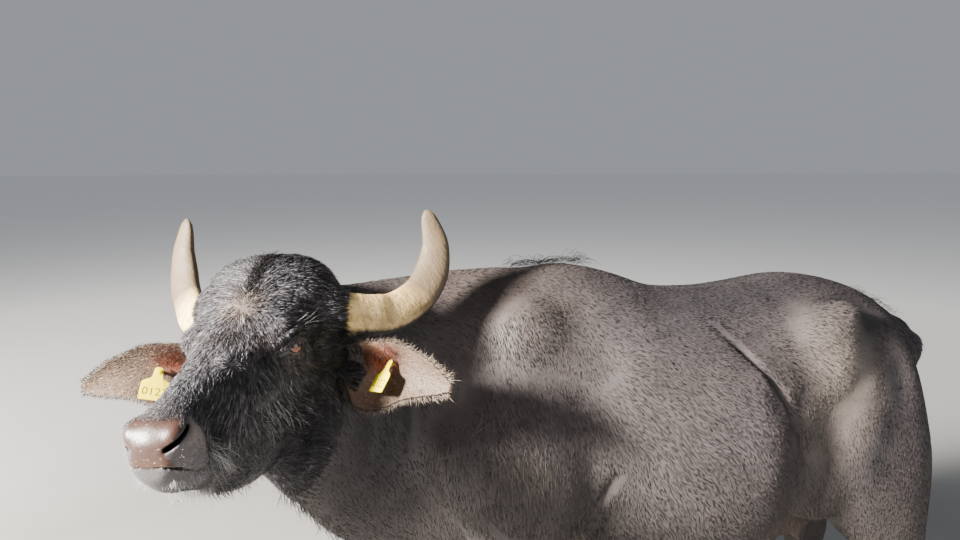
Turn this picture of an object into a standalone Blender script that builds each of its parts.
"""A water buffalo cow at life size, standing still with her head turned to her left.

Lengths are in metres and +Z is up. She faces -X, her left side is towards -Y, and the floor is z = 0
under the middle of her trunk. The flesh is modelled whole from turned sections and rounded masses,
grown together, and then parted into head, neck, torso and legs with thin cuts. Horns, eyes, claws and
ear tags are pieces of their own. Points of the head are given in the head's own axes: forward along
the nose, left, and up out of the forehead, from a point between the eyes.
"""

import math
import random

import bmesh
import bpy
import numpy as np
from mathutils import Matrix, Vector
from mathutils.bvhtree import BVHTree

# Driving sizes
WITHERS_HEIGHT = 1.35
GAP = 0.0003
BODY_VOXEL = 0.0125
HEAD_VOXEL = 0.0048
BODY_TRIANGLES = 5000
HEAD_TRIANGLES = 2500
EYE_RADIUS = 0.0205
TAG_THICKNESS = 0.0022

# The head's place and axes
HEAD_AT = Vector((-1.034, -0.362, 1.292))
HEAD_FORWARD = Vector((-0.344, -0.930, -0.129)).normalized()
HEAD_LEFT = (Vector((0.935, -0.352, 0.046))).normalized()
HEAD_LEFT = (HEAD_LEFT - HEAD_FORWARD * HEAD_LEFT.dot(HEAD_FORWARD)).normalized()
HEAD_UP = HEAD_FORWARD.cross(HEAD_LEFT)
HEAD = Matrix.Translation(HEAD_AT) @ Matrix((HEAD_FORWARD, HEAD_LEFT, HEAD_UP)).transposed().to_4x4()
WORLD = Matrix.Identity(4)

COLOURS = {
    "coat": ((0.030, 0.026, 0.026), 0.62),
    "ear": ((0.085, 0.065, 0.060), 0.70),
    "horn": ((0.46, 0.38, 0.25), 0.48),
    "hoof": ((0.045, 0.040, 0.038), 0.50),
    "eye": ((0.060, 0.020, 0.012), 0.12),
    "tag": ((0.86, 0.74, 0.03), 0.40),
    "switch": ((0.020, 0.018, 0.018), 0.70),
}

# Trunk sections: x, top, bottom, half width, height of the widest point, upper and lower roundness
TRUNK = [
    (-0.66, 1.12, 0.76, 0.100, 0.92, 2.0, 2.0),
    (-0.58, 1.26, 0.66, 0.165, 0.93, 2.0, 2.0),
    (-0.45, 1.325, 0.595, 0.205, 0.93, 1.9, 2.1),
    (-0.30, WITHERS_HEIGHT, 0.570, 0.250, 0.92, 1.8, 2.2),
    (-0.17, 1.325, 0.552, 0.292, 0.90, 1.9, 2.3),
    (-0.02, 1.276, 0.540, 0.330, 0.87, 2.1, 2.3),
    (0.12, 1.270, 0.545, 0.338, 0.87, 2.3, 2.2),
    (0.24, 1.284, 0.575, 0.285, 0.90, 2.5, 2.1),
    (0.36, 1.300, 0.640, 0.240, 1.00, 2.6, 2.0),
    (0.48, 1.282, 0.700, 0.205, 1.02, 2.4, 2.0),
    (0.60, 1.235, 0.760, 0.170, 1.03, 2.2, 2.0),
    (0.690, 1.182, 0.850, 0.125, 1.05, 2.0, 2.0),
    (0.738, 1.120, 0.960, 0.065, 1.06, 2.0, 2.0),
]

# Neck sections, upright and across its heading: x, y, heading in degrees to her left, top, bottom,
# half width, height of the widest point, upper and lower roundness
NECK = [
    (-0.42, 0.000, 0, 1.345, 0.600, 0.200, 0.96, 1.9, 1.9),
    (-0.58, -0.005, 4, 1.340, 0.600, 0.185, 0.99, 1.9, 1.8),
    (-0.71, -0.030, 14, 1.330, 0.625, 0.155, 1.03, 1.9, 1.6),
    (-0.81, -0.075, 26, 1.326, 0.665, 0.135, 1.07, 1.9, 1.5),
    (-0.885, -0.130, 38, 1.332, 0.732, 0.124, 1.12, 2.0, 1.6),
    (-0.940, -0.195, 52, 1.345, 0.838, 0.116, 1.16, 2.0, 1.7),
    (-0.975, -0.260, 62, 1.325, 0.922, 0.102, 1.17, 2.0, 1.8),
    (-0.998, -0.320, 68, 1.290, 0.990, 0.088, 1.16, 2.0, 1.8),
    (-1.018, -0.380, 70, 1.250, 1.050, 0.072, 1.15, 2.0, 2.0),
]

# Leg sections, level: height, front edge, back edge, distance from the middle plane, half width
FORELEG = [
    (1.20, -0.500, -0.280, 0.105, 0.060),
    (1.05, -0.590, -0.260, 0.165, 0.080),
    (0.93, -0.655, -0.265, 0.195, 0.092),
    (0.83, -0.630, -0.270, 0.203, 0.094),
    (0.755, -0.585, -0.290, 0.205, 0.084),
    (0.68, -0.555, -0.345, 0.202, 0.070),
    (0.58, -0.538, -0.402, 0.197, 0.055),
    (0.49, -0.528, -0.424, 0.193, 0.047),
    (0.425, -0.532, -0.418, 0.190, 0.051),
    (0.375, -0.536, -0.420, 0.188, 0.053),
    (0.32, -0.522, -0.434, 0.186, 0.044),
    (0.25, -0.512, -0.438, 0.185, 0.037),
    (0.185, -0.512, -0.434, 0.184, 0.038),
    (0.14, -0.524, -0.422, 0.184, 0.048),
    (0.105, -0.538, -0.440, 0.184, 0.045),
    (0.070, -0.560, -0.436, 0.184, 0.056),
    (0.030, -0.562, -0.434, 0.184, 0.056),
]
HINDLEG = [
    (1.20, 0.280, 0.590, 0.110, 0.080),
    (1.08, 0.275, 0.645, 0.145, 0.100),
    (0.96, 0.275, 0.668, 0.162, 0.108),
    (0.86, 0.285, 0.684, 0.172, 0.106),
    (0.76, 0.300, 0.690, 0.180, 0.094),
    (0.67, 0.365, 0.684, 0.184, 0.077),
    (0.58, 0.455, 0.680, 0.187, 0.060),
    (0.51, 0.520, 0.697, 0.188, 0.050),
    (0.46, 0.556, 0.726, 0.188, 0.046),
    (0.41, 0.574, 0.722, 0.188, 0.050),
    (0.355, 0.586, 0.696, 0.187, 0.046),
    (0.28, 0.592, 0.680, 0.186, 0.039),
    (0.20, 0.590, 0.676, 0.185, 0.040),
    (0.145, 0.578, 0.684, 0.184, 0.050),
    (0.105, 0.562, 0.668, 0.184, 0.048),
    (0.070, 0.540, 0.666, 0.184, 0.055),
    (0.030, 0.538, 0.668, 0.184, 0.055),
]
# How far each leg stands ahead of its own sections at the floor, so that the stance is natural
STRIDE = {"fore_left": -0.035, "fore_right": 0.055, "hind_left": 0.045, "hind_right": -0.055}

# Head sections in the head's axes: forward, top, bottom, half width, widest point, roundness
SKULL = [
    (-0.262, 0.020, -0.230, 0.075, -0.08, 2.0, 2.0),
    (-0.232, 0.070, -0.265, 0.118, -0.05, 2.4, 2.0),
    (-0.180, 0.092, -0.282, 0.138, -0.03, 2.9, 2.0),
    (-0.120, 0.082, -0.290, 0.135, -0.04, 2.9, 2.0),
    (-0.060, 0.050, -0.290, 0.116, -0.05, 2.7, 2.0),
    (0.000, 0.018, -0.294, 0.100, -0.06, 2.5, 2.0),
    (0.055, 0.001, -0.287, 0.084, -0.07, 2.4, 2.1),
    (0.115, -0.010, -0.268, 0.069, -0.09, 2.3, 2.2),
    (0.175, -0.019, -0.235, 0.057, -0.09, 2.3, 2.2),
    (0.225, -0.026, -0.199, 0.052, -0.09, 2.3, 2.2),
    (0.270, -0.032, -0.172, 0.052, -0.09, 2.3, 2.2),
    (0.300, -0.042, -0.150, 0.047, -0.09, 2.2, 2.2),
    (0.320, -0.066, -0.125, 0.028, -0.09, 2.0, 2.0),
]

# Rounded masses of bone and muscle: centre and radii. Those off the middle plane come in pairs.
BODY_MASSES = {
    "hip_point": ((0.375, 0.212, 1.228), (0.060, 0.042, 0.040)),
    "hip_side": ((0.330, 0.195, 1.110), (0.115, 0.082, 0.150)),
    "pin": ((0.690, 0.100, 1.095), (0.045, 0.040, 0.055)),
    "shoulder_point": ((-0.610, 0.180, 0.935), (0.062, 0.055, 0.085)),
    "triceps": ((-0.395, 0.205, 0.885), (0.115, 0.068, 0.125)),
    "blade": ((-0.400, 0.140, 1.110), (0.120, 0.068, 0.170)),
    "round": ((0.560, 0.190, 0.860), (0.115, 0.078, 0.150)),
    "stifle": ((0.335, 0.205, 0.770), (0.070, 0.062, 0.100)),
    "brisket": ((-0.660, 0.000, 0.715), (0.130, 0.085, 0.110)),
    "udder": ((0.380, 0.000, 0.625), (0.120, 0.085, 0.090)),
}
TEATS = ((0.335, 0.045, 0.535), (0.420, 0.045, 0.535))
TEAT_RADII = (0.014, 0.014, 0.035)
HEAD_MASSES = {
    "crown": ((-0.160, 0.000, -0.005), (0.085, 0.142, 0.098)),
    "orbit": ((-0.014, 0.077, -0.030), (0.055, 0.036, 0.040)),
    "lids": ((-0.007, 0.094, -0.041), (0.0250, 0.0250, 0.0250)),
    "cheek_bone": ((0.040, 0.066, -0.085), (0.090, 0.024, 0.034)),
    "masseter": ((-0.050, 0.068, -0.175), (0.086, 0.038, 0.094)),
    "ear_root": ((-0.138, 0.108, -0.100), (0.050, 0.045, 0.056)),
    "nostril_wing": ((0.282, 0.033, -0.066), (0.032, 0.021, 0.028)),
    "muzzle": ((0.270, 0.000, -0.080), (0.052, 0.053, 0.044)),
    "upper_lip": ((0.262, 0.000, -0.106), (0.056, 0.053, 0.028)),
    "lower_lip": ((0.254, 0.000, -0.145), (0.050, 0.042, 0.026)),
}
# The stalk of flesh that carries each horn: out from the middle, forward, height, half width, half height
STALK = [
    (0.030, -0.150, -0.005, 0.085, 0.085),
    (0.080, -0.150, -0.002, 0.072, 0.074),
    (0.125, -0.150, -0.016, 0.058, 0.058),
    (0.160, -0.158, -0.033, 0.046, 0.046),
]

# Hollows pressed into the grown flesh: centre, radii, depth
BODY_HOLLOWS = {
    "flank": ((0.130, 0.250, 1.180), (0.095, 0.110, 0.075), 0.022),
    "fold_upper": ((0.160, 0.290, 1.060), (0.040, 0.100, 0.070), 0.012),
    "fold_middle": ((0.215, 0.290, 0.970), (0.038, 0.100, 0.070), 0.015),
    "fold_lower": ((0.268, 0.280, 0.875), (0.040, 0.100, 0.070), 0.014),
    "behind_hip": ((0.520, 0.230, 1.060), (0.070, 0.100, 0.130), 0.022),
    "behind_elbow": ((-0.250, 0.270, 0.740), (0.045, 0.090, 0.110), 0.018),
    "before_blade": ((-0.640, 0.160, 1.080), (0.050, 0.100, 0.130), 0.014),
    "behind_blade": ((-0.250, 0.230, 1.120), (0.060, 0.100, 0.110), 0.010),
    "beside_tail": ((0.650, 0.060, 1.190), (0.050, 0.035, 0.060), 0.012),
}
HEAD_HOLLOWS = {
    "temple": ((-0.080, 0.125, -0.075), (0.036, 0.040, 0.034), 0.016),
    "before_eye": ((0.060, 0.072, -0.035), (0.040, 0.028, 0.022), 0.006),
    "behind_muzzle": ((0.212, 0.060, -0.085), (0.028, 0.040, 0.050), 0.006),
    "chin_groove": ((0.205, 0.000, -0.225), (0.028, 0.050, 0.025), 0.005),
    "between_jaws": ((0.050, 0.000, -0.285), (0.110, 0.026, 0.030), 0.010),
}

# Horn path in the head's axes, with the width across its broad face
HORN = [
    (-0.145, 0.128, -0.024, 0.090),
    (-0.186, 0.188, -0.045, 0.088),
    (-0.235, 0.228, -0.055, 0.083),
    (-0.285, 0.263, -0.044, 0.079),
    (-0.334, 0.294, -0.003, 0.076),
    (-0.365, 0.303, 0.056, 0.060),
    (-0.375, 0.292, 0.110, 0.038),
    (-0.376, 0.287, 0.130, 0.022),
    (-0.376, 0.286, 0.135, 0.010),
]
HORN_FACE = Vector((0.85, 0.30, 0.42))
HORN_RINGS = 17

# Ear: share of its length, half width, cup depth, thickness, and how far its middle line sags
EAR_ROOT = Vector((-0.138, 0.118, -0.100))
EAR_TIP = Vector((-0.042, 0.378, -0.142))
EAR_FACE = Vector((1.0, 0.0, 0.28))
EAR = [
    (0.00, 0.024, 0.024, 0.012, -0.012),
    (0.14, 0.032, 0.032, 0.012, -0.012),
    (0.20, 0.043, 0.037, 0.011, -0.016),
    (0.26, 0.060, 0.040, 0.010, -0.027),
    (0.34, 0.0665, 0.038, 0.010, -0.0265),
    (0.43, 0.0685, 0.033, 0.009, -0.021),
    (0.54, 0.0625, 0.026, 0.008, -0.012),
    (0.66, 0.0480, 0.018, 0.007, -0.002),
    (0.80, 0.0340, 0.010, 0.006, 0.002),
    (0.92, 0.0200, 0.005, 0.005, 0.001),
    (1.00, 0.0080, 0.001, 0.004, 0.000),
]

# Eye: its middle, the way it looks, the slant of its opening, and half the opening's length and height
EYE_AT = Vector((-0.007, 0.094, -0.041))
EYE_AXIS = Vector((0.36, 0.92, 0.12)).normalized()
EYE_SLANT = Vector((0.93, -0.30, 0.08))
LID_LENGTH = 0.0225
LID_OPEN = 0.0088
# How far from the eye's middle the opening's rings lie, and how wide each is
LID_RINGS = ((0.010, 0.80), (0.0195, 1.0), (0.045, 1.75))

# Nostril: the middle of its slit and half its width, and the line of the mouth from front to corner
NOSTRIL = [
    (0.304, 0.019, -0.082, 0.0035),
    (0.302, 0.026, -0.077, 0.0068),
    (0.296, 0.034, -0.069, 0.0066),
    (0.288, 0.041, -0.060, 0.0050),
    (0.279, 0.046, -0.052, 0.0038),
    (0.270, 0.049, -0.047, 0.0022),
]
NOSTRIL_WAY = (-1.0, -0.42, 0.05)
NOSTRIL_RINGS = ((-0.020, 1.0), (0.006, 1.0), (0.030, 0.45))
MOUTH = [
    (0.330, 0.000, -0.116),
    (0.322, 0.022, -0.118),
    (0.302, 0.043, -0.126),
    (0.270, 0.056, -0.138),
    (0.235, 0.060, -0.146),
    (0.200, 0.062, -0.150),
]
MOUTH_HEIGHT = 0.0045
MOUTH_DEPTH = 0.016

# Tail: place and radius down its length
TAIL = [
    (0.685, 1.146, 0.032),
    (0.732, 1.126, 0.031),
    (0.760, 1.075, 0.026),
    (0.768, 0.980, 0.023),
    (0.764, 0.860, 0.020),
    (0.757, 0.720, 0.017),
    (0.753, 0.580, 0.015),
    (0.752, 0.450, 0.013),
]
# The brush at its end: the core's radii down its length, as shares of the tail's, and its locks
SWITCH_LENGTH = 0.24
SWITCH_CORE = [(0.00, 1.02), (0.25, 1.5), (0.58, 1.3), (0.86, 0.4)]
SWITCH_LOCKS = 22

# Feet: claw sections as height, toe, heel, half width, from the middle of the foot
CLAW = [
    (0.000, -0.076, 0.052, 0.0270),
    (0.012, -0.078, 0.054, 0.0280),
    (0.040, -0.064, 0.056, 0.0265),
    (0.065, -0.053, 0.056, 0.0255),
    (0.095, -0.044, 0.052, 0.0240),
]
CLAW_APART = 0.0292
# The slanted upper edge of the claws: its height at the front, how far that is ahead, and its slope
CORONET_FRONT = 0.076
CORONET_AHEAD = 0.055
CORONET_SLOPE = 0.29
FEET = {"fore": (-0.498, 0.184), "hind": (0.603, 0.184)}
# Dewclaws: place, share of the stride, distance apart, and sections as height, half width, half depth
DEWCLAW_AT = {"fore": (-0.428, 0.135), "hind": (0.678, 0.138)}
DEWCLAW_STRIDE = 0.84
DEWCLAW_APART = 0.026
DEWCLAW = [(0.030, 0.010, 0.012), (0.010, 0.012, 0.012), (-0.004, 0.011, 0.010), (-0.020, 0.006, 0.006)]

# Ear tag outline from the stud down: distance along and half width
TAG = [(-0.010, 0.004), (-0.007, 0.008), (0.006, 0.0095), (0.012, 0.011), (0.022, 0.0265), (0.026, 0.0285)]
TAG += [(0.058, 0.0285), (0.060, 0.0265)]
# Where each stud sits (share of the ear's length, share of its width) and how the panel hangs from it
# in degrees: swung toward the ear's tip, leaning out, and twisted to face the head
TAG_PLACE = {"left": (0.485, 0.32), "right": (0.480, 0.12)}
TAG_HANG = {"left": (-2, 27, 36), "right": (20, 22, 16)}
TAG_STANDOFF = 0.014
TAG_BEHIND = 0.0130
PIN_RADIUS = 0.0032

# Locks: the crest's count, its ends along the back and half its width, and each ear's count
CREST_LOCKS = 14
CREST_SPAN = (-0.425, -0.230, 0.012)
CREST_DEPTH = 0.012
EAR_LOCKS = 13
SEED = 55

# Cuts: a point and the way to the part beyond
HEAD_CUT = ((-0.250, 0.0, 0.060), (0.94, 0.0, 0.342))
NECK_CUT = ((-0.585, 0.0, 1.000), (-0.923, 0.0, 0.386))
LEG_CUTS = {
    "fore": ((-0.86, -0.275), ((0.090, -0.05), (0.60, -0.05), (0.60, 0.90), (0.45, 0.90), (0.090, 0.560))),
    "hind": ((0.250, 0.95), ((0.095, -0.05), (0.60, -0.05), (0.60, 1.00), (0.475, 1.00), (0.095, 0.600))),
}
# Brings the middle of everything over the origin
SHIFT = Vector((0.2938, 0.161, 0.0))


def clear_scene():
    for old in list(bpy.data.objects):
        bpy.data.objects.remove(old)


def show(name, mesh, look):
    """A node of the model, in its own colour."""
    mesh.transform(Matrix.Translation(SHIFT))
    obj = bpy.data.objects.new(name, mesh)
    bpy.context.scene.collection.objects.link(obj)
    colour, roughness = COLOURS[look]
    finish = bpy.data.materials.get(look) or bpy.data.materials.new(look)
    finish.use_nodes = True
    shader = finish.node_tree.nodes["Principled BSDF"]
    shader.inputs["Base Color"].default_value = (*colour, 1.0)
    shader.inputs["Roughness"].default_value = roughness
    finish.diffuse_color = (*colour, 1.0)
    mesh.materials.clear()
    mesh.materials.append(finish)
    mesh.shade_smooth()
    mesh.set_sharp_from_angle(angle=math.radians(40))
    return obj


def applied(mesh, *settings):
    """The mesh after modifiers, each given as its type and its settings."""
    obj = bpy.data.objects.new("work", mesh)
    bpy.context.scene.collection.objects.link(obj)
    for kind, values in settings:
        modifier = obj.modifiers.new(kind, kind)
        for key, value in values.items():
            setattr(modifier, key, value)
    bpy.context.view_layer.update()
    graph = bpy.context.evaluated_depsgraph_get()
    made = bpy.data.meshes.new_from_object(obj.evaluated_get(graph))
    bpy.data.objects.remove(obj)
    return made


def combined(operation, base, others):
    """Boolean of one closed mesh with a list of closed meshes."""
    group = bpy.data.collections.new("cutters")
    bpy.context.scene.collection.children.link(group)
    for mesh in others:
        group.objects.link(bpy.data.objects.new("cutter", mesh))
    settings = {"operation": operation, "operand_type": "COLLECTION", "collection": group, "solver": "EXACT"}
    made = applied(base, ("BOOLEAN", settings))
    for obj in list(group.objects):
        bpy.data.objects.remove(obj)
    bpy.data.collections.remove(group)
    return made


def largest(mesh):
    """Only the largest closed surface of a mesh, with its tiny edges merged."""
    bm = bmesh.new()
    bm.from_mesh(mesh)
    bmesh.ops.remove_doubles(bm, verts=bm.verts, dist=1e-5)
    bmesh.ops.triangulate(bm, faces=bm.faces)
    bm.verts.ensure_lookup_table()
    left = set(bm.verts)
    groups = []
    while left:
        seed = left.pop()
        group, edge = {seed}, [seed]
        while edge:
            for link in edge.pop().link_edges:
                for vert in link.verts:
                    if vert in left:
                        left.remove(vert)
                        group.add(vert)
                        edge.append(vert)
        groups.append(group)
    keep = max(groups, key=len)
    bmesh.ops.delete(bm, geom=[v for v in bm.verts if v not in keep], context="VERTS")
    bm.to_mesh(mesh)
    bm.free()
    return mesh


def smooth_rows(rows, count):
    """The rows of a table, blended without overshoot into count rows."""
    table = np.array(rows, float)
    steps = np.linalg.norm(np.diff(table[:, :2], axis=0), axis=1)
    knots = np.concatenate([[0.0], np.cumsum(np.maximum(steps, 1e-6))])
    slopes = np.diff(table, axis=0) / np.diff(knots)[:, None]
    tangents = np.zeros_like(table)
    same = slopes[:-1] * slopes[1:] > 0
    with np.errstate(divide="ignore", invalid="ignore"):
        harmonic = 2 * slopes[:-1] * slopes[1:] / (slopes[:-1] + slopes[1:])
    tangents[1:-1] = np.where(same, harmonic, 0.0)
    tangents[0], tangents[-1] = slopes[0], slopes[-1]
    places = np.linspace(0, knots[-1], count)
    index = np.clip(np.searchsorted(knots, places, side="right") - 1, 0, len(knots) - 2)
    width = np.diff(knots)[index][:, None]
    t = (places - knots[index])[:, None] / width
    return (
        (2 * t**3 - 3 * t**2 + 1) * table[index]
        + (t**3 - 2 * t**2 + t) * width * tangents[index]
        + (3 * t**2 - 2 * t**3) * table[index + 1]
        + (t**3 - t**2) * width * tangents[index + 1]
    )


def rounded_ring(centre, side, up, half, above, below, round_above, round_below, count=36):
    """A closed section whose upper and lower halves are superellipses."""
    ring = []
    for step in range(count):
        angle = math.tau * step / count
        cosine, sine = math.cos(angle), math.sin(angle)
        power = 2 / (round_above if sine > 0 else round_below)
        across = math.copysign(abs(cosine) ** power, cosine) * half
        rise = math.copysign(abs(sine) ** power, sine) * (above if sine > 0 else below)
        ring.append(Vector(centre) + Vector(side) * across + Vector(up) * rise)
    return ring


def add_loft(bm, rings, place=WORLD):
    """A closed body through the rings, with flat ends."""
    loops = []
    for ring in rings:
        verts = [bm.verts.new(place @ point) for point in ring]
        loops.append([bm.edges.new((verts[i - 1], verts[i])) for i in range(len(verts))])
    made = []
    for one, two in zip(loops[:-1], loops[1:]):
        made += bmesh.ops.bridge_loops(bm, edges=one + two)["faces"]
    for end in (loops[0], loops[-1]):
        made += bmesh.ops.contextual_create(bm, geom=end)["faces"]
    bmesh.ops.recalc_face_normals(bm, faces=made)
    return made


def add_ball(bm, centre, radii, place=WORLD, turn=(0, 0, 0), detail=3):
    """An ellipsoid, turned by degrees about x, y and z."""
    spin = Matrix.Rotation(math.radians(turn[2]), 4, "Z")
    spin = spin @ Matrix.Rotation(math.radians(turn[1]), 4, "Y") @ Matrix.Rotation(math.radians(turn[0]), 4, "X")
    matrix = place @ Matrix.Translation(centre) @ spin @ Matrix.Diagonal((*radii, 1.0))
    bmesh.ops.create_icosphere(bm, subdivisions=detail, radius=1.0, matrix=matrix)


def add_masses(bm, masses, place=WORLD):
    for centre, radii in masses.values():
        for side in (1, -1) if centre[1] else (1,):
            add_ball(bm, (centre[0], centre[1] * side, centre[2]), radii, place)


def finished(bm, name):
    mesh = bpy.data.meshes.new(name)
    bm.to_mesh(mesh)
    bm.free()
    return mesh


def trunk_rings():
    rings = []
    for x, top, bottom, half, widest, above, below in smooth_rows(TRUNK, 44):
        rings.append(
            rounded_ring((x, 0, widest), (0, 1, 0), (0, 0, 1), half, top - widest, widest - bottom, above, below)
        )
    return rings


def neck_rings():
    rings = []
    for x, y, heading, top, bottom, half, widest, above, below in smooth_rows(NECK, 26):
        turn = math.radians(heading)
        side = (-math.sin(turn), math.cos(turn), 0)
        rings.append(rounded_ring((x, y, widest), side, (0, 0, 1), half, top - widest, widest - bottom, above, below))
    return rings


def leg_rings(table, side, stride):
    rings = []
    top = table[0][0]
    for z, front, back, out, half in smooth_rows(table, 44):
        step = stride * (1 - z / top) ** 1.5
        centre = ((front + back) / 2 + step, side * out, z)
        length = (back - front) / 2
        rings.append(rounded_ring(centre, (0, 1, 0), (1, 0, 0), half, length, length, 2.2, 2.0, 24))
    return rings


def skull_rings():
    rings = []
    for x, top, bottom, half, widest, above, below in smooth_rows(SKULL, 40):
        rings.append(
            rounded_ring((x, 0, widest), (0, 1, 0), (0, 0, 1), half, top - widest, widest - bottom, above, below)
        )
    return rings


def softened(mesh, amount, passes):
    """Each point drawn toward its neighbours, by its own amount."""
    ends = np.empty(len(mesh.edges) * 2, np.int32)
    mesh.edges.foreach_get("vertices", ends)
    ends = ends.reshape(-1, 2)
    points = points_of(mesh)
    degree = np.bincount(ends.ravel(), minlength=len(points)).astype(float)[:, None]
    for _ in range(passes):
        total = np.zeros_like(points)
        for axis in range(3):
            total[:, axis] = np.bincount(ends[:, 0], points[ends[:, 1], axis], len(points))
            total[:, axis] += np.bincount(ends[:, 1], points[ends[:, 0], axis], len(points))
        points += amount * (total / degree - points)
    mesh.vertices.foreach_set("co", points.ravel())
    mesh.update()
    return mesh


def grown(mesh, voxel):
    """The overlapping masses grown into one skin."""
    return applied(mesh, ("REMESH", {"mode": "VOXEL", "voxel_size": voxel}))


def points_of(mesh):
    points = np.empty(len(mesh.vertices) * 3)
    mesh.vertices.foreach_get("co", points)
    return points.reshape(-1, 3)


def normals_of(mesh):
    normals = np.empty(len(mesh.vertices) * 3, np.float32)
    mesh.vertex_normals.foreach_get("vector", normals)
    return normals.reshape(-1, 3).astype(float)


def pressed(mesh, hollows, place=WORLD):
    """Hollows pressed along the normals, each fading out over its radii. A negative depth swells."""
    back = place.inverted()
    points, normals = points_of(mesh), normals_of(mesh)
    local = points @ np.array(back.to_3x3()).T + np.array(back.translation)
    push = np.zeros(len(points))
    for centre, radii, depth in hollows.values():
        for side in (1, -1) if centre[1] else (1,):
            middle = np.array((centre[0], centre[1] * side, centre[2]))
            far = (((local - middle) / np.array(radii)) ** 2).sum(1)
            push += depth * np.exp(-1.5 * far)
    mesh.vertices.foreach_set("co", (points - normals * push[:, None]).ravel())
    mesh.update()
    return mesh


def thinned(mesh, triangles):
    """The mesh with about that many triangles."""
    now = sum(len(face.vertices) - 2 for face in mesh.polygons)
    return applied(mesh, ("DECIMATE", {"ratio": min(1.0, triangles / now), "use_collapse_triangulate": True}))


def swollen(mesh, amount):
    """A copy of a closed mesh, its points moved out along their normals."""
    copy = mesh.copy()
    points = points_of(copy) + normals_of(copy) * amount
    copy.vertices.foreach_set("co", points.ravel())
    copy.update()
    return copy


def beyond(point, way, gap, reach=6.0):
    """A great box that holds all that lies more than gap beyond a plane."""
    way = Vector(way).normalized()
    turn = way.to_track_quat("Z", "Y").to_matrix().to_4x4()
    middle = Vector(point) + way * (gap + reach / 2)
    bm = bmesh.new()
    bmesh.ops.create_cube(bm, size=reach, matrix=Matrix.Translation(middle) @ turn)
    return finished(bm, "beyond")


def prism(outline, start, stop, side, shrink):
    """A box along x with that outline across it, all its faces drawn in by shrink."""
    middle = Vector((sum(y for y, _ in outline), sum(z for _, z in outline))) / len(outline)
    rings = []
    for x in (start + shrink, stop - shrink):
        ring = []
        for y, z in outline:
            inward = (middle - Vector((y, z))).normalized() * shrink * 1.6
            ring.append(Vector((x, (y + inward.x) * side, z + inward.y)))
        rings.append(ring)
    bm = bmesh.new()
    add_loft(bm, rings)
    return finished(bm, "prism")


def flesh():
    """The body and the head, thinned, before they are parted."""
    bm = bmesh.new()
    add_loft(bm, trunk_rings())
    add_loft(bm, neck_rings())
    add_loft(bm, skull_rings(), HEAD)
    for side, word in ((-1, "left"), (1, "right")):
        add_loft(bm, leg_rings(FORELEG, side, STRIDE[f"fore_{word}"]))
        add_loft(bm, leg_rings(HINDLEG, side, STRIDE[f"hind_{word}"]))
    add_masses(bm, BODY_MASSES)
    add_masses(bm, {place: (place, TEAT_RADII) for place in TEATS})

    body = grown(finished(bm, "body"), BODY_VOXEL)
    amount = 0.10 + 0.50 * np.clip((points_of(body)[:, 2:] - 0.45) / 0.30, 0.0, 1.0)
    body = softened(pressed(softened(body, amount, 14), BODY_HOLLOWS), amount, 5)

    bm = bmesh.new()
    add_loft(bm, neck_rings())
    add_loft(bm, skull_rings(), HEAD)
    for side in (1, -1):
        add_loft(bm, stalk_rings(side), HEAD)
    add_masses(bm, HEAD_MASSES, HEAD)

    head = grown(finished(bm, "head"), HEAD_VOXEL)
    forward = (points_of(head) - np.array(HEAD_AT)) @ np.array(HEAD_FORWARD)
    amount = (0.24 + 0.36 * np.clip(-forward / 0.12, 0, 1))[:, None]
    head = softened(pressed(softened(head, amount, 22), HEAD_HOLLOWS, HEAD), amount, 4)
    head = combined("INTERSECT", head, [beyond(HEAD @ Vector(HEAD_CUT[0]), HEAD.to_3x3() @ Vector(HEAD_CUT[1]), GAP)])
    return thinned(body, BODY_TRIANGLES), thinned(head, HEAD_TRIANGLES)


def stalk_rings(side):
    rings = []
    for out, forward, height, half, rise in smooth_rows(STALK, 10):
        rings.append(rounded_ring((forward, out * side, height), (1, 0, 0), (0, 0, 1), half, rise, rise, 2, 2, 24))
    return rings


def mirrored(mesh):
    """A copy on the other side of the head's middle plane."""
    copy = mesh.copy()
    copy.transform(HEAD @ Matrix.Diagonal((1, -1, 1, 1)) @ HEAD.inverted())
    copy.flip_normals()
    return copy


def horn():
    rows = smooth_rows(HORN, HORN_RINGS)
    rings = []
    for index, (x, y, z, width) in enumerate(rows):
        ahead = rows[min(index + 1, len(rows) - 1)][:3] - rows[max(index - 1, 0)][:3]
        along = Vector(ahead).normalized()
        face = (HORN_FACE - along * HORN_FACE.dot(along)).normalized()
        across = along.cross(face)
        rings.append(rounded_ring((x, y, z), across, face, width / 2, width * 0.27, width * 0.36, 2.3, 1.8, 12))
    bm = bmesh.new()
    add_loft(bm, rings, HEAD)
    return finished(bm, "horn")


def ear_frame():
    along = (EAR_TIP - EAR_ROOT).normalized()
    face = (EAR_FACE - along * EAR_FACE.dot(along)).normalized()
    return along, face, face.cross(along)


def ear_point(row, across, lift=0.0):
    """A point of the ear's hollow side at a share of its width, lifted off it."""
    share, half, cup, _, sag = row
    along, face, up = ear_frame()
    length = (EAR_TIP - EAR_ROOT).length
    back = -cup * (1 - across * across)
    return EAR_ROOT + along * (share * length) + up * (across * half + sag) + face * (back + lift)


def ear(columns=6):
    along, face, up = ear_frame()
    rings = []
    for row in smooth_rows(EAR, 12):
        _, half, cup, thick, _ = row
        shares = [-1 + 2 * i / columns for i in range(columns + 1)]
        ring = [ear_point(row, v) for v in shares]
        for v in reversed(shares):
            slope = 2 * cup * v
            outward = (up * slope - face * half).normalized()
            skin = thick * (1.0 - 0.45 * v * v)
            spread = up * (0.002 * v)
            ring.append(ear_point(row, v) + outward * skin + spread)
        rings.append(ring)
    bm = bmesh.new()
    add_loft(bm, rings, HEAD)
    return finished(bm, "ear")


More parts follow.
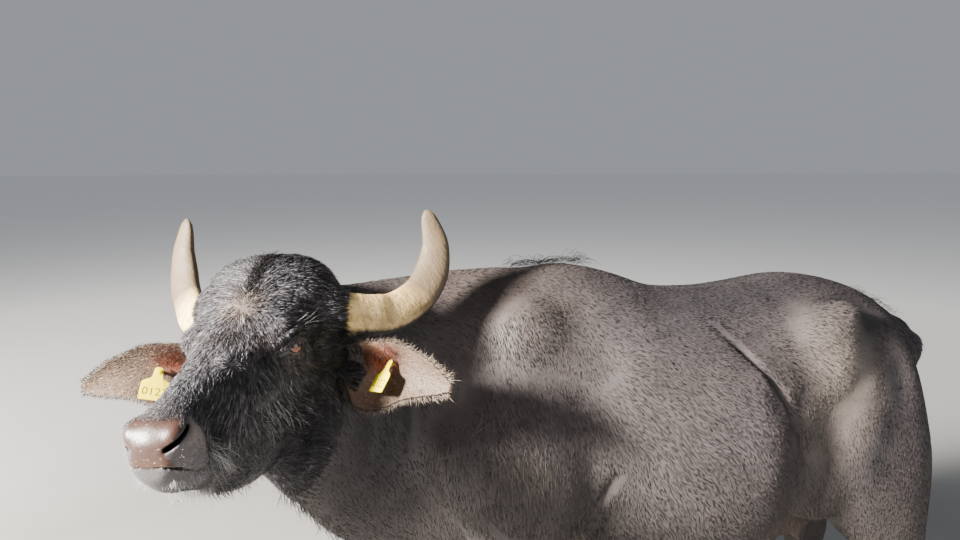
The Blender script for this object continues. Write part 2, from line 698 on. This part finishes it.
def plate(outline, origin, down, out, thickness):
    """A flat plate whose outline runs down from its origin, its back at the origin."""
    side = out.cross(down).normalized()
    points = [(along, half) for along, half in outline] + [(along, -half) for along, half in reversed(outline)]
    bm = bmesh.new()
    rings = []
    for lift in (0.0, thickness):
        rings.append([origin + down * along + side * half + out * lift for along, half in points])
    add_loft(bm, rings, HEAD)
    return finished(bm, "plate")


def pin_mesh(start, stop, radius, sides=10):
    way = (stop - start).normalized()
    side = way.orthogonal().normalized()
    up = way.cross(side)
    bm = bmesh.new()
    rings = [rounded_ring(end, side, up, radius, radius, radius, 2, 2, sides) for end in (start, stop)]
    add_loft(bm, rings, HEAD)
    return finished(bm, "pin")


def tag(word):
    """Front panel, pin and back panel of one ear tag, and the pin's hole."""
    rows = smooth_rows(EAR, 61)
    share, across = TAG_PLACE[word]
    row = rows[int(np.argmin(np.abs(rows[:, 0] - share)))]
    along, face, up = ear_frame()
    stud = ear_point(row, across)
    swing, lean, twist = (math.radians(angle) for angle in TAG_HANG[word])
    hanging = -up * math.cos(swing) + along * math.sin(swing)
    down = hanging * math.cos(lean) + face * math.sin(lean)
    out = Matrix.Rotation(twist, 3, down) @ (face * math.cos(lean) - hanging * math.sin(lean))
    front = stud + face * TAG_STANDOFF
    back = stud - face * (row[3] + TAG_BEHIND)
    pieces = [
        plate(TAG, front, down, out, TAG_THICKNESS),
        plate(TAG, back, -up, -face, TAG_THICKNESS),
    ]
    start, stop = back - face * TAG_THICKNESS * 0.5, front + out * TAG_THICKNESS * 0.7
    whole = combined("UNION", pin_mesh(start, stop, PIN_RADIUS), pieces)
    hole = pin_mesh(start, stop, PIN_RADIUS + GAP * 1.2)
    return largest(whole), hole


def almond():
    """The opening between the lids, widening outward."""
    groove = (EYE_SLANT - EYE_AXIS * EYE_SLANT.dot(EYE_AXIS)).normalized()
    up = EYE_AXIS.cross(groove)
    rings = []
    for reach, grow in LID_RINGS:
        ring = []
        for step in range(16):
            angle = math.tau * step / 16
            across = math.cos(angle) * LID_LENGTH
            rise = math.copysign(abs(math.sin(angle)) ** 1.25, math.sin(angle)) * LID_OPEN
            ring.append(EYE_AT + EYE_AXIS * reach + groove * across * grow + up * rise * grow)
        rings.append(ring)
    bm = bmesh.new()
    add_loft(bm, rings, HEAD)
    return finished(bm, "almond")


def eyeball(radius, back=2.0, segments=12):
    """The front of the eye: a ball about its axis, flat behind the angle back."""
    side = EYE_AXIS.orthogonal().normalized()
    up = EYE_AXIS.cross(side)
    rings = []
    for step in range(7):
        angle = 0.12 + (back - 0.12) * step / 6
        out = radius * math.sin(angle)
        rings.append(rounded_ring(EYE_AT + EYE_AXIS * (radius * math.cos(angle)), side, up, out, out, out, 2, 2, segments))
    bm = bmesh.new()
    add_loft(bm, rings, HEAD)
    return finished(bm, "eye")


def nostril():
    """A bent slit that narrows inward."""
    inward = Vector(NOSTRIL_WAY).normalized()
    middle = [Vector(row[:3]) for row in NOSTRIL]
    rings = []
    for reach, shrink in NOSTRIL_RINGS:
        near, far = [], []
        for index, row in enumerate(NOSTRIL):
            along = middle[min(index + 1, len(middle) - 1)] - middle[max(index - 1, 0)]
            across = along.cross(inward).normalized() * row[3] * shrink
            centre = middle[1] + (middle[index] - middle[1]) * shrink + inward * reach
            near.append(centre + across)
            far.append(centre - across)
        rings.append(near + far[::-1])
    bm = bmesh.new()
    add_loft(bm, rings, HEAD)
    return finished(bm, "nostril")


def mouth_cutter():
    """A wedge run round the muzzle from corner to corner."""
    path = smooth_rows(MOUTH, 9)
    points = [Vector((x, -y, z)) for x, y, z in reversed(path[1:])] + [Vector(p) for p in path]
    rings = []
    for index, point in enumerate(points):
        ahead = points[min(index + 1, len(points) - 1)] - points[max(index - 1, 0)]
        inward = Vector((0, 0, 1)).cross(ahead).normalized()
        if inward.dot(Vector((0.18, 0, point.z)) - point) < 0:
            inward = -inward
        fade = 1.0 - 0.45 * abs(2 * index / (len(points) - 1) - 1) ** 2
        high = Vector((0, 0, MOUTH_HEIGHT / 2 * fade))
        outer, inner = point - inward * 0.012, point + inward * MOUTH_DEPTH * fade
        rings.append([outer + high * 2.4, outer - high * 2.4, inner - high * 0.35, inner + high * 0.35])
    bm = bmesh.new()
    add_loft(bm, rings, HEAD)
    return finished(bm, "mouth")


def claw(kind, side, toe):
    x, y = FEET[kind]
    word = "left" if side < 0 else "right"
    x += STRIDE[f"{kind}_{word}"]
    rings = []
    for z, front, back, half in smooth_rows(CLAW, 5):
        spread = toe * (CLAW_APART - 0.0012 * z / 0.09)
        centre = (x + (front + back) / 2, side * y + spread, z)
        rings.append(rounded_ring(centre, (0, 1, 0), (-1, 0, 0), half, (back - front) / 2, (back - front) / 2, 1.75, 2.6, 11))
    bm = bmesh.new()
    add_loft(bm, rings)
    return finished(bm, "claw")


def coronet(kind, side):
    """The slanted plane between flesh and claw: a point on it and the way up."""
    word = "left" if side < 0 else "right"
    x = FEET[kind][0] + STRIDE[f"{kind}_{word}"]
    return (x - CORONET_AHEAD, side * FEET[kind][1], CORONET_FRONT), Vector((CORONET_SLOPE, 0, 1))


def dewclaw(kind, side, toe):
    word = "left" if side < 0 else "right"
    x, z = DEWCLAW_AT[kind]
    x += STRIDE[f"{kind}_{word}"] * DEWCLAW_STRIDE
    y = side * FEET[kind][1] + toe * DEWCLAW_APART
    rings = []
    for rise, half, deep in DEWCLAW:
        centre = (x + 0.006 - rise * 0.35, y, z + rise)
        rings.append(rounded_ring(centre, (0, 1, 0), (1, 0, 0), half, deep, deep, 2, 2, 6))
    bm = bmesh.new()
    add_loft(bm, rings)
    return finished(bm, "dewclaw")


def lock(root, way, bend, side, length, width, flat=0.34, rings=3):
    """A flat tapered lock of hair: from its root along way, bending, its width along side."""
    way, bend = Vector(way).normalized(), Vector(bend)
    sections = []
    for index in range(rings + 1):
        share = index / rings
        centre = Vector(root) + way * (length * share) + bend * (length * share * share)
        along = (way + bend * 2 * share).normalized()
        across = (Vector(side) - along * along.dot(side)).normalized()
        half = width / 2 * max(0.12, 1 - share**1.7)
        sections.append(rounded_ring(centre, across, across.cross(along), half, half * flat, half * flat, 2, 2, 4))
    bm = bmesh.new()
    add_loft(bm, sections)
    return finished(bm, "lock")


def tail():
    rings = []
    rows = smooth_rows(TAIL, 15)
    for index, (x, z, radius) in enumerate(rows):
        ahead = rows[min(index + 1, len(rows) - 1)] - rows[max(index - 1, 0)]
        along = Vector((ahead[0], 0, ahead[1])).normalized()
        rings.append(rounded_ring((x, 0, z), (0, 1, 0), along.cross(Vector((0, 1, 0))), radius, radius, radius, 2, 2, 10))
    bm = bmesh.new()
    add_loft(bm, rings)
    return finished(bm, "tail")


def switch(draw):
    """The brush of long hair at the tail's end."""
    x, z, radius = TAIL[-1]
    rings = []
    for share, width in SWITCH_CORE:
        half = radius * width
        middle = (x, 0, z - GAP - SWITCH_LENGTH * share)
        rings.append(rounded_ring(middle, (0, 1, 0), (1, 0, 0), half, half, half, 2, 2, 12))
    bm = bmesh.new()
    add_loft(bm, rings)
    body = finished(bm, "switch")
    locks = []
    for index in range(SWITCH_LOCKS):
        angle = math.tau * (index * 0.382 + draw.uniform(-0.03, 0.03))
        drop = 0.02 + (SWITCH_LENGTH - 0.10) * index / SWITCH_LOCKS
        out = Vector((math.cos(angle), math.sin(angle), 0))
        root = Vector((x, 0, z - drop)) + out * radius * 0.6
        reach = min(0.13, SWITCH_LENGTH - drop) * draw.uniform(0.85, 1.1)
        side = out.cross(Vector((0, 0, 1)))
        way = out * 0.20 - Vector((0, 0, 1)) + side * draw.uniform(-0.08, 0.08)
        locks.append(lock(root, way, -out * 0.14, side, reach, draw.uniform(0.019, 0.025)))
    return largest(combined("UNION", body, locks))


def crest(torso, draw):
    """The sparse crest of long hairs over the withers."""
    tree = BVHTree.FromPolygons([v.co for v in torso.vertices], [p.vertices for p in torso.polygons])
    start, stop, half = CREST_SPAN
    locks = []
    for index in range(CREST_LOCKS):
        x = start + (stop - start) * index / (CREST_LOCKS - 1)
        y = draw.uniform(-half, half)
        hit = tree.ray_cast(Vector((x, y, 2 * WITHERS_HEIGHT)), Vector((0, 0, -1)))[0]
        root = hit - Vector((0, 0, CREST_DEPTH))
        reach = draw.uniform(0.060, 0.075)
        locks.append(lock(root, (0.85, y * 6, 0.62), (0.10, 0, -0.16), (0.3, 1, 0), reach, 0.022))
    return largest(combined("UNION", torso, locks))


def ear_fringe(shell, draw):
    """Hair along the ear's lower edge and round its tip, each lock lying over the next."""
    along, face, up = ear_frame()
    rows = smooth_rows(EAR, 61)
    locks = []
    for index in range(EAR_LOCKS):
        share = 0.27 + 0.72 * index / (EAR_LOCKS - 1)
        row = rows[int(np.argmin(np.abs(rows[:, 0] - share)))]
        edge = ear_point(row, -0.86) - face * row[3] * 0.5
        turn = 0.25 + 0.75 * share
        way = -up * (1.25 - turn) + along * turn - face * (0.04 + 0.12 * (index % 2))
        reach = draw.uniform(0.024, 0.034) * (1.3 - 0.7 * share)
        width = draw.uniform(0.028, 0.034)
        made = lock(edge, way, along * 0.30 - face * 0.05, along + up * turn, reach, width, 0.16, 2)
        made.transform(HEAD)
        locks.append(made)
    return largest(combined("UNION", shell, locks))


def main():
    clear_scene()
    draw = random.Random(SEED)
    body, head = flesh()

    # Head with its openings, and what grows from it
    openings = [almond(), nostril(), eyeball(EYE_RADIUS + GAP)]
    clear_head = swollen(head, GAP * 1.3)
    head = combined("DIFFERENCE", head, openings + [mirrored(made) for made in openings] + [mouth_cutter()])
    show("head", largest(head), "coat")
    show("eye_right", mirrored(eyeball(EYE_RADIUS)), "eye")
    show("eye_left", eyeball(EYE_RADIUS), "eye")

    clear_horn = swollen(horn(), GAP * 1.3)
    show("horn_right", largest(combined("DIFFERENCE", mirrored(horn()), [clear_head])), "horn")
    show("horn_left", largest(combined("DIFFERENCE", horn(), [clear_head])), "horn")

    for word in ("left", "right"):
        made, hole = tag(word)
        shell = ear_fringe(ear(), draw)
        shell = combined("DIFFERENCE", shell, [hole, clear_horn])
        if word == "right":
            made, shell = mirrored(made), mirrored(shell)
        shell = largest(combined("DIFFERENCE", shell, [clear_head]))
        show(f"ear_{word}", shell, "ear")
        show(f"ear_tag_{word}", made, "tag")

    # The body parted into neck, torso and legs
    cut_point, cut_way = HEAD @ Vector(HEAD_CUT[0]), HEAD.to_3x3() @ Vector(HEAD_CUT[1])
    body = combined("INTERSECT", body, [beyond(cut_point, -cut_way, 0.0)])
    neck_point, neck_way = Vector(NECK_CUT[0]), Vector(NECK_CUT[1])
    neck = largest(combined("INTERSECT", body, [beyond(neck_point, neck_way, GAP)]))
    show("neck", neck, "coat")
    rest = combined("INTERSECT", body, [beyond(neck_point, -neck_way, 0.0)])
    torso = rest
    for kind, ((start, stop), outline) in LEG_CUTS.items():
        for side, word in ((-1, "left"), (1, "right")):
            point, way = coronet(kind, side)
            leg = combined("INTERSECT", rest, [prism(outline, start, stop, side, GAP)])
            leg = largest(combined("INTERSECT", leg, [beyond(point, way, 0.0)]))
            torso = combined("DIFFERENCE", torso, [prism(outline, start, stop, side, 0.0)])
            for toe, place in ((-1, "left"), (1, "right")):
                made = combined("DIFFERENCE", claw(kind, side, toe), [beyond(point, way, -GAP)])
                show(f"claw_{kind}_{word}_{place}", largest(made), "hoof")
                spur = largest(combined("DIFFERENCE", dewclaw(kind, side, toe), [swollen(leg, GAP * 1.3)]))
                show(f"dewclaw_{kind}_{word}_{place}", spur, "hoof")
            show(f"leg_{kind}_{word}", leg, "coat")
    torso = crest(largest(torso), draw)
    hanging = largest(combined("DIFFERENCE", tail(), [swollen(torso, GAP * 1.3)]))
    show("torso", torso, "coat")
    show("tail", hanging, "coat")
    show("tail_switch", switch(draw), "switch")


main()
